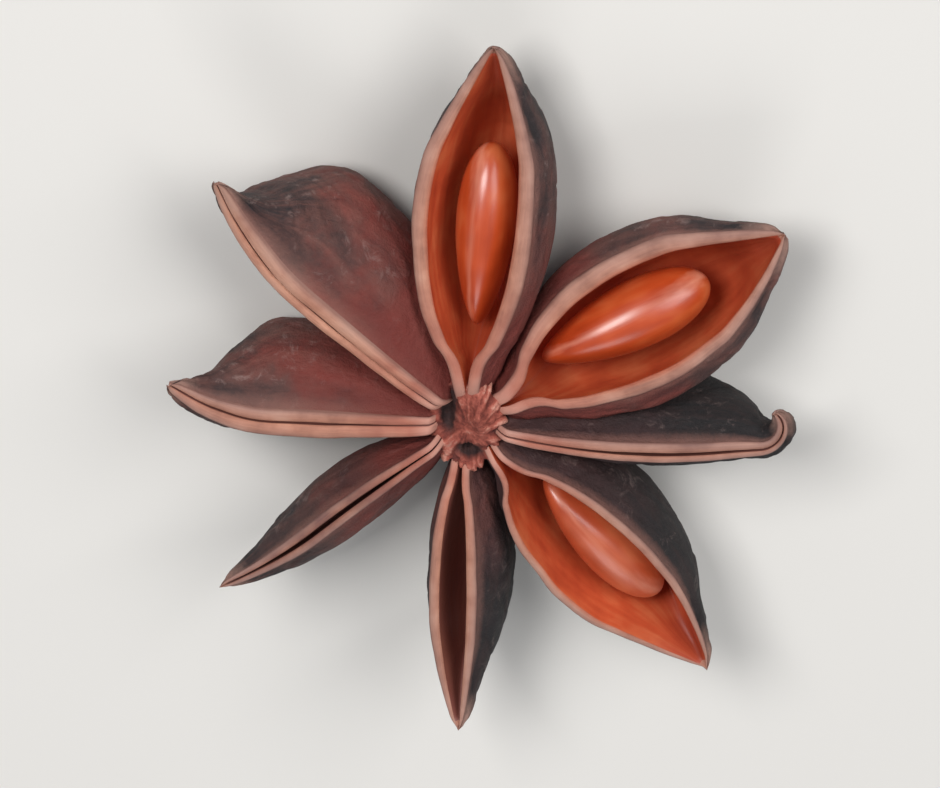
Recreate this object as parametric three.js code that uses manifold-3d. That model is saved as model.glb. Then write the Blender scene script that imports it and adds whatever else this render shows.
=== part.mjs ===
// Dried star anise fruit: eight boat-shaped carpels that grow out of one central column,
// with a glossy seed lying in each of the three that have split wide open.
// Millimetres, +Z up. The fruit stands on the bellies of its carpels, with z = 0 at the table
// and the origin under the middle of its box. +X runs towards the carpel with the closed, curved
// edge, and +Y roughly along the long open carpel that holds the first seed.
import * as THREE from "three";
import { mergeVertices } from "three/addons/utils/BufferGeometryUtils.js";
import Module from "manifold-3d";

const wasm = await Module();
wasm.setup();

// ---- driving dimensions -------------------------------------------------------------------
const BASE_RADIUS = 0.8; // how far from the fruit's axis a carpel starts
const WALL = 0.85; // thickness of a carpel's wall, measured across the hollow
const KEEL_WALL = 1.1; // thickness under the hollow
const LIP_CROWN = 0.22; // height of a lip's rounded top, as a share of the lip's width
const SLIT = 0.08; // width of the groove where a carpel is still shut
const GROOVE = 0.15; // depth of that groove at the two ends
const FULL_SPLIT = 0.45; // half of a split from which the hollow under it has its full width
const FLAT = 0.2; // depth of the worn flats that the fruit stands on
const TABLE = { size: 100, thickness: 10 }; // what lies below its top is cut off the bellies

// Handles of the curves that form a carpel's side and the hollow in it, as shares of its half
// width there, and of its depth for level.
const SIDE = { low: 0.75, cheek: 1.42, level: 0.3 };
const BED = { low: 0.85, cheek: 1.08, level: 0.35 };

// The eight carpels, in order round the axis. azimuth, droop and roll are degrees: droop lowers
// the beak, and roll turns the lips towards the side with the smaller azimuth. reach is the
// length from the axis to the beak's tip along the carpel. bend bows the whole carpel to the
// left, the side with the larger azimuth, and from a share of its length on the beak turns left
// through the angle curl. heel under 1 keeps the keel deep near the column, and taper over 1
// makes the beak slimmer. gape is half of the split at its widest, and spread under 1 makes it
// wide over more of its length. lift is the space between the belly and the table.
const CARPELS = [
  { azimuth: 85.5, reach: 21.6, droop: 10, roll: -15, bend: 0.75, curl: 3, from: 0.6, heel: 1, taper: 1,
    lift: 0, depth: 7.4, hollow: 6.2,
    left: { width: 2.9, gape: 2.25, lip: 0.85, spread: 1 },
    right: { width: 3.6, gape: 2.45, lip: 0.9, spread: 1 } },
  { azimuth: 28.7, reach: 19.7, droop: 8, roll: -18, bend: 0.9, curl: 16, from: 0.6, heel: 1, taper: 1,
    lift: 0, depth: 7.4, hollow: 6.2,
    left: { width: 4.0, gape: 2.55, lip: 1.0, spread: 1 },
    right: { width: 4.7, gape: 3.0, lip: 0.74, spread: 1 } },
  { azimuth: -3.8, reach: 18.3, droop: 1, roll: 0.5, bend: -0.8, curl: 155, from: 0.83, heel: 1, taper: 1.45,
    lift: 0.3, depth: 8.3, hollow: 1.2,
    left: { width: 2.0, gape: 0.1, lip: 0.58, spread: 1 },
    right: { width: 2.3, gape: 0.1, lip: 0.38, spread: 1 } },
  { azimuth: -50.5, reach: 19.6, droop: 3, roll: 5, bend: 0.1, curl: 3, from: 0.6, heel: 1, taper: 1,
    lift: 0, depth: 8.0, hollow: 6.4,
    left: { width: 3.4, gape: 2.1, lip: 0.5, spread: 0.8 },
    right: { width: 3.0, gape: 2.75, lip: 0.47, spread: 0.95 } },
  { azimuth: -91.8, reach: 18.2, droop: 0, roll: 11, bend: -0.45, curl: 3, from: 0.6, heel: 1, taper: 1,
    lift: 0, depth: 8.4, hollow: 5.0,
    left: { width: 2.7, gape: 0.76, lip: 0.55, spread: 1.1 },
    right: { width: 1.7, gape: 0.68, lip: 0.55, spread: 0.45 } },
  { azimuth: 221.5, reach: 16.5, droop: 2, roll: 22, bend: -0.3, curl: -18, from: 0.6, heel: 1, taper: 1,
    lift: 0.4, depth: 8.0, hollow: 1.8,
    left: { width: 1.6, gape: 0.12, lip: 0.4, spread: 1 },
    right: { width: 2.4, gape: 0.12, lip: 0.45, spread: 1 } },
  { azimuth: 180.4, reach: 16.3, droop: 1, roll: -4, bend: -0.2, curl: -50, from: 0.59, heel: 0.7, taper: 1.9,
    lift: 0, depth: 8.0, hollow: 1.0,
    left: { width: 2.5, gape: 0.08, lip: 0.8, spread: 1 },
    right: { width: 3.4, gape: 0.08, lip: 0.68, spread: 1 } },
  { azimuth: 139.7, reach: 20.5, droop: 4, roll: -30, bend: 0, curl: -46, from: 0.52, heel: 0.35, taper: 2.4,
    lift: 0.5, depth: 8.15, hollow: 1.0,
    left: { width: 1.85, gape: 0.08, lip: 0.68, spread: 1 },
    right: { width: 4.0, gape: 0.08, lip: 1.0, spread: 1 } },
];

// How a carpel changes from its base (0) to the tip of its beak (1), each as a share of its size.
const DEEPEST = 0.58; // where the keel is deepest
const DEPTH_SHAPE = [[0, 0.55], [0.2, 0.76], [0.4, 0.94], [DEEPEST, 1], [0.74, 0.82], [0.88, 0.42], [1, 0.09]];
const WIDTH_SHAPE = [
  [0, 0.14], [0.12, 0.4], [0.3, 0.8], [0.5, 1], [0.7, 0.88], [0.86, 0.5], [0.95, 0.28], [1, 0.13],
];
const GAPE_SHAPE = [
  [0, 0], [0.12, 0.06], [0.22, 0.46], [0.33, 0.78], [0.44, 0.94], [0.55, 1], [0.66, 0.93], [0.76, 0.74],
  [0.87, 0.42], [0.95, 0.16], [1, 0],
];
const HOLLOW_SHAPE = [[0, 0], [0.12, 0.2], [0.3, 0.88], [0.5, 1], [0.7, 0.88], [0.9, 0.25], [1, 0]];
const LIP_SHAPE = [[0, 0.5], [0.25, 0.9], [0.6, 1], [0.85, 0.7], [1, 0.15]];
const EDGE_HEIGHT = [[0, 0], [0.25, 0.3], [0.6, 0.1], [0.85, -0.15], [1, 0.45]]; // in millimetres

// The central column, with the scar of the stalk under it.
const COLUMN = { radius: 1.8, crown: 1.1, top: 8.9, bottom: 2.6, edge: 0.5, sides: 16 };
const SCAR = { radius: 1.25, bottom: 2.0 };

// The three seeds: length runs along the carpel, thickness across it and height up from its
// keel. along and aside give the seed's middle, below how far its top lies under the lips, and
// turn how many degrees the end away from the column is turned to the left.
// They leave the seed about 0.3 clear of the hollow's wall.
const SEEDS = [
  { name: "seed_upper", carpel: 0, along: 10.6, aside: 0.4, below: 0.1,
    turn: 0, length: 10.0, thickness: 3.3, height: 4.0 },
  { name: "seed_right", carpel: 1, along: 9.9, aside: 0.85, below: 0.05,
    turn: -4, length: 9.6, thickness: 3.8, height: 4.2 },
  { name: "seed_lower", carpel: 3, along: 10.9, aside: 0.05, below: 0.45,
    turn: 0, length: 9.4, thickness: 3.4, height: 4.0 },
];

// Mesh fineness
const STATIONS = 18; // rings along a carpel
const WALL_STEPS = 6; // from a lip down to the keel
const LIP_STEPS = 2; // across a lip
const HOLLOW_STEPS = 3; // from a lip down to the hollow's floor
const SEED_STEPS = [18, 12]; // round a seed, and from end to end

// ---- helpers ------------------------------------------------------------------------------

// A smooth curve through the [place, value] pairs of a profile, read at one place.
function profile(points, at) {
  const last = points.length - 1;
  let i = 0;
  while (i < last - 1 && at > points[i + 1][0]) i += 1;
  const slope = (k) => {
    const [a, b] = [points[Math.max(k - 1, 0)], points[Math.min(k + 1, last)]];
    return (b[1] - a[1]) / (b[0] - a[0]);
  };
  const [[x0, y0], [x1, y1]] = [points[i], points[i + 1]];
  const span = x1 - x0;
  const t = (at - x0) / span;
  const rise = (1 - t) ** 2 * t * slope(i) - (1 - t) * t * t * slope(i + 1);
  return y0 + (y1 - y0) * t * t * (3 - 2 * t) + span * rise;
}

// A closed geometry from rings of points, each ring joined to the next and both ends capped.
function loft(rings) {
  const count = rings[0].length;
  const middle = (ring) => ring.reduce((sum, p) => sum.add(p), new THREE.Vector3()).divideScalar(count);
  const points = [...rings.flat(), middle(rings[0]), middle(rings.at(-1))];
  const faces = [];
  const [first, last] = [points.length - 2, points.length - 1];
  rings.forEach((ring, r) => {
    for (let k = 0; k < count; k += 1) {
      const a = r * count + k;
      const b = r * count + ((k + 1) % count);
      if (r === 0) faces.push(first, b, a);
      if (r === rings.length - 1) faces.push(last, a, b);
      else faces.push(a, b, b + count, a, b + count, a + count);
    }
  });
  return new THREE.BufferGeometry().setFromPoints(points).setIndex(faces);
}

// manifold-3d's solid of a closed geometry, for joining and cutting.
function solidOf(geometry) {
  const bare = new THREE.BufferGeometry().setAttribute("position", geometry.getAttribute("position"));
  bare.setIndex(geometry.index);
  const merged = mergeVertices(bare, 1e-4);
  return new wasm.Manifold(
    new wasm.Mesh({
      numProp: 3,
      vertProperties: new Float32Array(merged.attributes.position.array),
      triVerts: new Uint32Array(merged.index.array),
    }),
  );
}

function geometryOf(solid) {
  const mesh = solid.getMesh();
  return new THREE.BufferGeometry()
    .setAttribute("position", new THREE.BufferAttribute(mesh.vertProperties, 3))
    .setIndex(new THREE.BufferAttribute(mesh.triVerts, 1));
}

// ---- one carpel ---------------------------------------------------------------------------

// One side of the section, from the keel up the outside, over the lip and down into the hollow.
// It is drawn on the right, as [across, up] pairs, and the left side is its mirror image.
function halfSection(width, gape, lip, depth, hollow) {
  const opening = Math.max(gape, SLIT / 2);
  const edge = opening + lip;
  const outside = new THREE.CubicBezierCurve(
    new THREE.Vector2(0, -depth),
    new THREE.Vector2(SIDE.low * width, -depth),
    new THREE.Vector2(Math.max(SIDE.cheek * width, edge), -SIDE.level * depth),
    new THREE.Vector2(edge, 0),
  );
  const room = Math.max(width - WALL, 0) * Math.min(1, opening / FULL_SPLIT);
  const inside = new THREE.CubicBezierCurve(
    new THREE.Vector2(opening, 0),
    new THREE.Vector2(Math.max(BED.cheek * room, opening / 2), -BED.level * hollow),
    new THREE.Vector2(BED.low * room, -hollow),
    new THREE.Vector2(0, -hollow),
  );
  const across = [];
  for (let k = 1; k < LIP_STEPS; k += 1) {
    const turn = (Math.PI * k) / LIP_STEPS;
    const x = opening + (lip * (1 + Math.cos(turn))) / 2;
    across.push(new THREE.Vector2(x, LIP_CROWN * lip * Math.sin(turn)));
  }
  return [...outside.getPoints(WALL_STEPS), ...across, ...inside.getPoints(HOLLOW_STEPS)];
}

// The middle of a carpel's lips at u, and the direction from there to its left.
function carpelPath(spec, u) {
  const span = spec.reach - BASE_RADIUS;
  const curl = THREE.MathUtils.degToRad(spec.curl);
  const radius = ((1 - spec.from) * span) / curl;
  const turned = (curl * Math.max(0, u - spec.from)) / (1 - spec.from);
  const out = BASE_RADIUS + Math.min(u, spec.from) * span + radius * Math.sin(turned);
  const aside = spec.bend * Math.sin(Math.PI * u) + radius * (1 - Math.cos(turned));
  const ahead = new THREE.Vector2(
    span * Math.cos(turned),
    span * Math.sin(turned) + spec.bend * Math.PI * Math.cos(Math.PI * u),
  ).normalize();
  return { out, aside, left: new THREE.Vector2(-ahead.y, ahead.x) };
}

function carpelRing(spec, u) {
  const shape = profile(DEPTH_SHAPE, u);
  const depth = spec.depth * (u < DEEPEST ? 1 - (1 - shape) * spec.heel : shape ** spec.taper);
  const hollow = Math.min(
    Math.max(spec.hollow * profile(HOLLOW_SHAPE, u), GROOVE),
    Math.max(depth - KEEL_WALL, GROOVE),
  );
  const half = ({ width, gape, lip, spread }) =>
    halfSection(
      width * profile(WIDTH_SHAPE, u),
      gape * Math.max(profile(GAPE_SHAPE, u), 0) ** spread,
      lip * profile(LIP_SHAPE, u),
      depth,
      hollow,
    );
  const { out, aside, left } = carpelPath(spec, u);
  const up = profile(EDGE_HEIGHT, u);
  const place = (p, side) =>
    new THREE.Vector3(out + left.x * side * p.x, aside + left.y * side * p.x, up + p.y);
  return [
    ...half(spec.left).map((p) => place(p, 1)),
    ...half(spec.right).slice(1, -1).reverse().map((p) => place(p, -1)),
  ];
}

// Turns a carpel from its own axes, outwards along X, to its place round the fruit.
function carpelTurn(spec) {
  const [azimuth, droop, roll] = [spec.azimuth, spec.droop, spec.roll].map(THREE.MathUtils.degToRad);
  return new THREE.Matrix4()
    .makeRotationZ(azimuth)
    .multiply(new THREE.Matrix4().makeRotationY(droop))
    .multiply(new THREE.Matrix4().makeRotationX(roll));
}

function carpelGeometry(spec) {
  const rings = [];
  for (let i = 0; i <= STATIONS; i += 1) rings.push(carpelRing(spec, i / STATIONS));
  return loft(rings).applyMatrix4(carpelTurn(spec));
}

// How far a turned carpel is raised so that its belly is lift above the table.
function carpelRise(spec, geometry) {
  geometry.computeBoundingBox();
  return spec.lift - FLAT - geometry.boundingBox.min.z;
}

// ---- column and seeds ---------------------------------------------------------------------

function columnGeometry() {
  const { radius, crown, top, bottom, edge, sides } = COLUMN;
  const outline = [
    [0, SCAR.bottom],
    [SCAR.radius, SCAR.bottom],
    [SCAR.radius, bottom],
    [radius, bottom + edge],
    [radius, top - edge],
    [crown, top],
    [0, top],
  ];
  const points = outline.map(([r, z]) => new THREE.Vector2(r, z));
  return new THREE.LatheGeometry(points, sides).rotateX(Math.PI / 2);
}

function seedGeometry(seed, spec, rise) {
  const ball = new THREE.SphereGeometry(0.5, ...SEED_STEPS).rotateZ(Math.PI / 2);
  const middle = -seed.below - seed.height / 2;
  return ball
    .scale(seed.length, seed.thickness, seed.height)
    .rotateZ(THREE.MathUtils.degToRad(seed.turn))
    .translate(seed.along, seed.aside, middle)
    .applyMatrix4(carpelTurn(spec))
    .translate(0, 0, rise);
}

// ---- the fruit ----------------------------------------------------------------------------

const rises = [];
const carpels = CARPELS.map((spec) => {
  const geometry = carpelGeometry(spec);
  rises.push(carpelRise(spec, geometry));
  return solidOf(geometry.translate(0, 0, rises.at(-1)));
});
const slab = new THREE.BoxGeometry(TABLE.size, TABLE.size, TABLE.thickness);
const table = solidOf(slab.translate(0, 0, -TABLE.thickness / 2));
const fruit = carpels
  .reduce((whole, carpel) => whole.add(carpel), solidOf(columnGeometry()))
  .subtract(table);

const husk = new THREE.MeshStandardMaterial({ color: 0x6e4436, roughness: 0.8, metalness: 0 });
const seedCoat = new THREE.MeshStandardMaterial({ color: 0xa8481f, roughness: 0.25, metalness: 0 });

const starAnise = new THREE.Group();
const podGeometry = geometryOf(fruit);
podGeometry.computeBoundingBox();
const { min, max } = podGeometry.boundingBox;
starAnise.position.set(-(min.x + max.x) / 2, -(min.y + max.y) / 2, 0);

const pod = new THREE.Mesh(podGeometry, husk);
pod.name = "pod";
starAnise.add(pod);
for (const seed of SEEDS) {
  const mesh = new THREE.Mesh(seedGeometry(seed, CARPELS[seed.carpel], rises[seed.carpel]), seedCoat);
  mesh.name = seed.name;
  starAnise.add(mesh);
}

export default starAnise;
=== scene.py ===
# %% [markdown]
# # A dried star anise fruit
# The fruit is a star of eight boat-shaped carpels round a central column. Each carpel is a leaf
# folded along its keel, whose two edges meet on top. As the fruit dries the edges part, and a
# glossy seed shows between them. Everything here is worked out in the frame's own space: metres,
# +Z up, with the table at z = 0.

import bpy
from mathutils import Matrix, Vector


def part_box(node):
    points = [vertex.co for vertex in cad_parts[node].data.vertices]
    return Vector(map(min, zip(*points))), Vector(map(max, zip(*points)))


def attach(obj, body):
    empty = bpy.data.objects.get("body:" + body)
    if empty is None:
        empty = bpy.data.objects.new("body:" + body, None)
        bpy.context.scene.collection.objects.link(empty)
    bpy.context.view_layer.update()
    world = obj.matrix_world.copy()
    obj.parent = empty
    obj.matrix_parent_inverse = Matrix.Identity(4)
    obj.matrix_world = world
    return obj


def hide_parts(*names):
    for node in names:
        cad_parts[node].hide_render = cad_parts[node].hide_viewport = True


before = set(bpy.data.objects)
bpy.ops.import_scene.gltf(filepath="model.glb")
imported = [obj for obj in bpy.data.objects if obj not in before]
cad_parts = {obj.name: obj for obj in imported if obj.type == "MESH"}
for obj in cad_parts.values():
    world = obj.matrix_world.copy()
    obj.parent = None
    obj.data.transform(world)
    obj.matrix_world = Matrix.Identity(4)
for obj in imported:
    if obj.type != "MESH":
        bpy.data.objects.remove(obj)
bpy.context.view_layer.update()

import math

import bpy
from mathutils import Matrix, Vector

# %% [markdown]
# ## The camera
# The fruit leans away from the viewer by thirty degrees, so the walls of its far carpels show
# above their edges. The same view of a fruit that lies flat has the camera on the +Y side, with
# its own top towards +Y. A long lens from some way off keeps the star from being stretched.

# %% Place the camera
MM = 0.001
LEAN = math.radians(30)  # between the fruit's axis and the line of sight
LENS = 700.0  # mm
SENSOR = 36.0  # mm
CLIP_START = 0.01  # metres
SHOWN_WIDTH = 49.0 * MM  # of the space at the fruit that the frame takes in
LOOK_AT = Vector((-0.0006, -0.0008, 0.006))

camera_data = bpy.data.cameras.new("camera")
camera_data.lens = LENS
camera_data.sensor_width = SENSOR
camera_data.clip_start = CLIP_START
camera = bpy.data.objects.new("camera", camera_data)
bpy.context.scene.collection.objects.link(camera)

line_of_sight = Vector((0, math.sin(LEAN), math.cos(LEAN)))
top = Vector((0, math.cos(LEAN), -math.sin(LEAN)))
distance = SHOWN_WIDTH * LENS / SENSOR
turn = Matrix((top.cross(line_of_sight), top, line_of_sight)).transposed().to_4x4()
camera.matrix_world = Matrix.Translation(LOOK_AT + line_of_sight * distance) @ turn
bpy.context.scene.camera = camera
print("camera is", round(distance, 3), "m away")

# %% [markdown]
# ## Nodes and colours
# Three helpers serve every tree in this lesson. `add` makes one node with its settings and
# links, whatever its kind. A `Field` wraps a node's output so that arithmetic can be written with
# the usual signs, and each sign adds one Math node. That keeps a rule such as a curve's formula
# readable, in Geometry Nodes and in a material alike. `linear` turns an sRGB hex colour into the
# values that a node takes.

# %% Helpers for node trees
class Field:
    """One output of a node, on which arithmetic can be done."""

    def __init__(self, tree, socket):
        self.tree = tree
        self.socket = socket

    def __getitem__(self, name):
        return Field(self.tree, self.socket.node.outputs[name])

    def math(self, operation, *others):
        return add(self.tree, "ShaderNodeMath", dict(enumerate((self, *others))), operation=operation)

    def __add__(self, other):
        return self.math("ADD", other)

    def __mul__(self, other):
        return self.math("MULTIPLY", other)

    def __sub__(self, other):
        return self.math("SUBTRACT", other)

    def __rsub__(self, other):
        return add(self.tree, "ShaderNodeMath", {0: other, 1: self}, operation="SUBTRACT")

    def __truediv__(self, other):
        return self.math("DIVIDE", other)

    def __pow__(self, other):
        return self.math("POWER", other)

    __radd__ = __add__
    __rmul__ = __mul__


def add(tree, kind, inputs=None, out=0, points=None, stops=None, **settings):
    """Add a node with its settings and inputs, a curve's points or a ramp's stops."""
    node = tree.nodes.new(kind)
    for name, value in settings.items():
        setattr(node, name, value)
    for name, value in (inputs or {}).items():
        if isinstance(value, Field):
            tree.links.new(value.socket, node.inputs[name])
        else:
            node.inputs[name].default_value = value
    if points:
        node.mapping.use_clip = False
        line = node.mapping.curves[0].points
        line[0].location, line[1].location = points[0], points[-1]
        for place in points[1:-1]:
            line.new(*place)
        node.mapping.update()
    if stops:
        ramp = node.color_ramp.elements
        while len(ramp) < len(stops):
            ramp.new(0.5)
        for element, (place, colour) in zip(ramp, stops):
            element.position = place
            element.color = linear(colour)
    return Field(tree, node.outputs[out])


def linear(colour):
    """The linear RGBA values of an sRGB hex colour."""
    parts = [int(colour[k : k + 2], 16) / 255 for k in (1, 3, 5)]
    return [p / 12.92 if p <= 0.04045 else ((p + 0.055) / 1.055) ** 2.4 for p in parts] + [1.0]


print("a middle grey is", round(linear("#808080")[0], 3), "once linear")

# %% [markdown]
# ## The studio
# A plain pale floor and three soft lamps. The strongest stands on the upper left, because the
# seeds carry their gloss there. The other two only open the shadows.

# %% Floor and lights
FLOOR = "#d9d6d1"
FLOOR_ROUGHNESS = 0.9
FLOOR_REACH = 1.5  # metres
ROOM = "#c9ced6"
ROOM_STRENGTH = 0.33
LAMPS = {  # name: (place in metres, width in metres, watts)
    "key": ((-0.16, 0.26, 0.38), 0.18, 1.6),
    "fill": ((0.26, 0.22, 0.34), 0.30, 1.2),
    "back": ((0.02, -0.30, 0.30), 0.22, 0.4),
}
bpy.context.scene.view_settings.view_transform = "Standard"

corners = [(x * FLOOR_REACH, y * FLOOR_REACH, 0) for x, y in ((-1, -1), (1, -1), (1, 1), (-1, 1))]
floor_mesh = bpy.data.meshes.new("floor")
floor_mesh.from_pydata(corners, [], [(0, 1, 2, 3)])
floor = bpy.data.objects.new("floor", floor_mesh)
bpy.context.scene.collection.objects.link(floor)
paper = bpy.data.materials.new("matt_paper")
paper.use_nodes = True
paper_shader = paper.node_tree.nodes["Principled BSDF"]
paper_shader.inputs["Base Color"].default_value = linear(FLOOR)
paper_shader.inputs["Roughness"].default_value = FLOOR_ROUGHNESS
floor_mesh.materials.append(paper)

for name, (place, width, watts) in LAMPS.items():
    lamp = bpy.data.lights.new(name, "AREA")
    lamp.size = width
    lamp.energy = watts
    holder = bpy.data.objects.new(name, lamp)
    holder.location = place
    holder.rotation_euler = (-Vector(place)).to_track_quat("-Z", "Y").to_euler()
    bpy.context.scene.collection.objects.link(holder)

world = bpy.data.worlds.new("room")
bpy.context.scene.world = world
world.use_nodes = True
world.node_tree.nodes["Background"].inputs["Color"].default_value = linear(ROOM)
world.node_tree.nodes["Background"].inputs["Strength"].default_value = ROOM_STRENGTH
print("lamps:", ", ".join(LAMPS))

# %% [markdown]
# ## The eight carpels
# No two carpels of a fruit are alike: the ones whose seeds ripened gape, and the others stayed
# shut. All follow one rule, so the differences are a table of sizes, in millimetres and degrees.
# The left side is the one with the larger azimuth.
#
# - `azimuth` is where the carpel points, and `reach` how far its beak is from the fruit's axis.
# - `droop` lowers the beak, and `roll` turns the lips towards the smaller azimuth.
# - `bend` bows the whole carpel to the left. From the share `start` on, the beak turns left by
#   the angle `curl`. Under 0, both go right.
# - `depth` is its height where it is deepest, and `hollow` how deep the hollow in it goes. `lift`
#   says how much higher its belly is than those that the fruit rests on.
# - `heel` under 1 keeps the keel deep near the column, and `taper` over 1 makes the beak slimmer.
# - Each side has its half width, the half of its split (`gape`) and the width of its lip. A
#   `spread` under 1 keeps the split wide over more of its length.
# - `weather_and_shade` says how far the husk has gone from maroon to charcoal. On east, south_east and
#   south, which lie in shade, it is set high, so it also paints their shade. `bleach` says how
#   pale the torn lips are.
# - `inset` is the share of the carpel over which the lips sink into the heart of the star.

# %% Sizes of the carpels
# Painted shade: east, south_east and south lie in shade, so their weather values are high.
CARPELS = {
    "north": dict(azimuth=85.5, reach=21.6, droop=10, roll=-15, bend=0.75, curl=3, start=0.6,
                  heel=1, taper=1, lift=0, depth=7.4, hollow=6.2,
                  weather_and_shade=0.5, bleach=0.7, inset=0.13,
                  left=dict(width=2.9, gape=2.25, lip=0.85, spread=1),
                  right=dict(width=3.6, gape=2.45, lip=0.9, spread=1)),
    "north_east": dict(azimuth=28.7, reach=19.7, droop=8, roll=-18, bend=0.9, curl=16, start=0.6,
                       heel=1, taper=1, lift=0, depth=7.4, hollow=6.2,
                       weather_and_shade=0.4, bleach=0.62, inset=0.115,
                       left=dict(width=4, gape=2.55, lip=1, spread=1),
                       right=dict(width=4.7, gape=3, lip=0.74, spread=1)),
    "east": dict(azimuth=-3.8, reach=18.3, droop=1, roll=0.5, bend=-0.8, curl=155, start=0.83,
                 heel=1, taper=1.45, lift=0.3, depth=8.3, hollow=1.2,
                 weather_and_shade=1, bleach=0.65, inset=0.08,
                 left=dict(width=2, gape=0.1, lip=0.58, spread=1),
                 right=dict(width=2.3, gape=0.1, lip=0.38, spread=1)),
    "south_east": dict(azimuth=-50.5, reach=19.6, droop=3, roll=5, bend=0.1, curl=3, start=0.6,
                       heel=1, taper=1, lift=0, depth=8, hollow=6.4,
                       weather_and_shade=1, bleach=0.8, inset=0.1,
                       left=dict(width=3.4, gape=2.1, lip=0.5, spread=0.8),
                       right=dict(width=3, gape=2.75, lip=0.47, spread=0.95)),
    "south": dict(azimuth=-91.8, reach=18.2, droop=0, roll=11, bend=-0.45, curl=3, start=0.6,
                  heel=1, taper=1, lift=0, depth=8.4, hollow=5,
                  weather_and_shade=0.9, bleach=0.85, inset=0.27,
                  left=dict(width=2.7, gape=0.76, lip=0.55, spread=1.1),
                  right=dict(width=1.7, gape=0.68, lip=0.55, spread=0.45)),
    "south_west": dict(azimuth=221.5, reach=16.5, droop=2, roll=22, bend=-0.3, curl=-18, start=0.6,
                       heel=1, taper=1, lift=0.4, depth=8, hollow=1.8,
                       weather_and_shade=0.5, bleach=0.35, inset=0.11,
                       left=dict(width=1.6, gape=0.12, lip=0.4, spread=1),
                       right=dict(width=2.4, gape=0.12, lip=0.45, spread=1)),
    "west": dict(azimuth=180.4, reach=16.3, droop=1, roll=-4, bend=-0.2, curl=-50, start=0.59,
                 heel=0.7, taper=1.9, lift=0, depth=8, hollow=0.45,
                 weather_and_shade=0.4, bleach=0.75, inset=0.085,
                 left=dict(width=2.5, gape=0.08, lip=0.8, spread=1),
                 right=dict(width=3.4, gape=0.08, lip=0.68, spread=1)),
    "north_west": dict(azimuth=139.7, reach=20.5, droop=4, roll=-30, bend=0, curl=-46, start=0.52,
                       heel=0.35, taper=2.4, lift=0.5, depth=8.15, hollow=0.4,
                       weather_and_shade=0.35, bleach=1.1, inset=0.075,
                       left=dict(width=1.85, gape=0.08, lip=0.68, spread=1),
                       right=dict(width=4, gape=0.08, lip=1, spread=1)),
}
BASE_RADIUS = 0.8  # from the fruit's axis to where a carpel starts
WALL = 0.85  # from the husk to the lining, at the sides
KEEL_WALL = 1.1  # and under the hollow
SLIT = 0.08  # how far apart the lips of a shut carpel stand
GROOVE = 0.15  # how deep the gap between two lips is at least
FULL_SPLIT = 0.45  # half of a split from which the hollow under it has its full width
SINK = 3.0  # how deep the lips end in the heart
FLAT = 0.2  # how far the bellies are worn flat

# From a carpel's base (0) to the tip of its beak (1), as shares of its size.
DEEPEST = 0.58
PROFILES = {
    "depth": [(0, 0.55), (0.2, 0.76), (0.4, 0.94), (DEEPEST, 1), (0.74, 0.82), (0.88, 0.42), (1, 0.09)],
    "width": [(0, 0.14), (0.12, 0.4), (0.3, 0.8), (0.5, 1), (0.7, 0.88), (0.86, 0.5), (0.95, 0.28),
              (1, 0.13)],
    "gape": [(0, 0), (0.12, 0.06), (0.22, 0.46), (0.33, 0.78), (0.44, 0.94), (0.55, 1), (0.66, 0.93),
             (0.76, 0.74), (0.87, 0.42), (0.95, 0.16), (1, 0)],
    "hollow": [(0, 0), (0.12, 0.2), (0.3, 0.88), (0.5, 1), (0.7, 0.88), (0.9, 0.25), (1, 0)],
    "lip": [(0, 0.5), (0.25, 0.9), (0.6, 1), (0.85, 0.7), (1, 0.15)],
}
EDGE_HEIGHT = [(0, 0), (0.25, 0.3), (0.6, 0.1), (0.85, -0.15), (1, 0.45)]  # millimetres
longest = max(c["reach"] for c in CARPELS.values())
print(len(CARPELS), "carpels, the longest reaches", longest, "mm from the axis")

# %% [markdown]
# ## Finishes
# The wall of a carpel has three surfaces. Outside is the husk, dull and corky, wrinkled as it
# dried. The lips are its torn edge, paler and fibrous. Inside is the lining, a thin hard skin
# with a satin gloss. Each gets a material of its own. They could be painted by hand, but here
# they read marks that the carpel's shape leaves on its points: how far along, how high up the
# wall, and how deep its relief is. So a finish stays in its place when a size changes. The mark
# `skin` is a flat map of the carpel, its length by the way round it, both in millimetres, on
# which fibres can run lengthwise.
#
# Each material begins with a colour that a noise varies, and `painted` lays others over it. A
# layer says which value it follows, from where to where it comes in, how much it covers, and
# its colour.

# %% Helpers for finishes
def new_material(name, roughness, **uniform):
    """A Principled material with one value for the whole surface on its own sockets."""
    material = bpy.data.materials.new(name)
    material.use_nodes = True
    shader = material.node_tree.nodes["Principled BSDF"]
    shader.inputs["Roughness"].default_value = roughness
    for socket, value in uniform.items():
        shader.inputs[socket.replace("_", " ")].default_value = value
    return material, material.node_tree, shader


def per(size_mm):
    """The texture scale that repeats a pattern about every size_mm, in a tree that reads metres."""
    return 1 / (size_mm * MM)


def marks(tree, *names):
    """The fields of the marks that a shape has left on its points."""
    return [add(tree, "ShaderNodeAttribute", out="Fac", attribute_name=name) for name in names]


def fibres_on(tree, mark, size_mm, **settings):
    """A noise on a map in millimetres, drawn out to a length, a width and a depth."""
    flat = add(tree, "ShaderNodeAttribute", out="Vector", attribute_name=mark)
    per_mm = [1 / size for size in size_mm]
    scaled = add(tree, "ShaderNodeVectorMath", {0: flat, 1: per_mm}, operation="MULTIPLY")
    return add(tree, "ShaderNodeTexNoise", {"Vector": scaled, "Scale": 1.0, **settings})


def painted(tree, tint, layers):
    """Lay colours over a tint. Each comes in as its value goes from one number to another."""
    for value, start, end, share, colour in layers:
        shown = add(tree, "ShaderNodeMapRange", {"Value": value, "From Min": start, "From Max": end})
        tint = add(tree, "ShaderNodeMix", {0: shown * share, 6: tint, 7: linear(colour)},
                   out=2, data_type="RGBA")
    return tint


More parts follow.
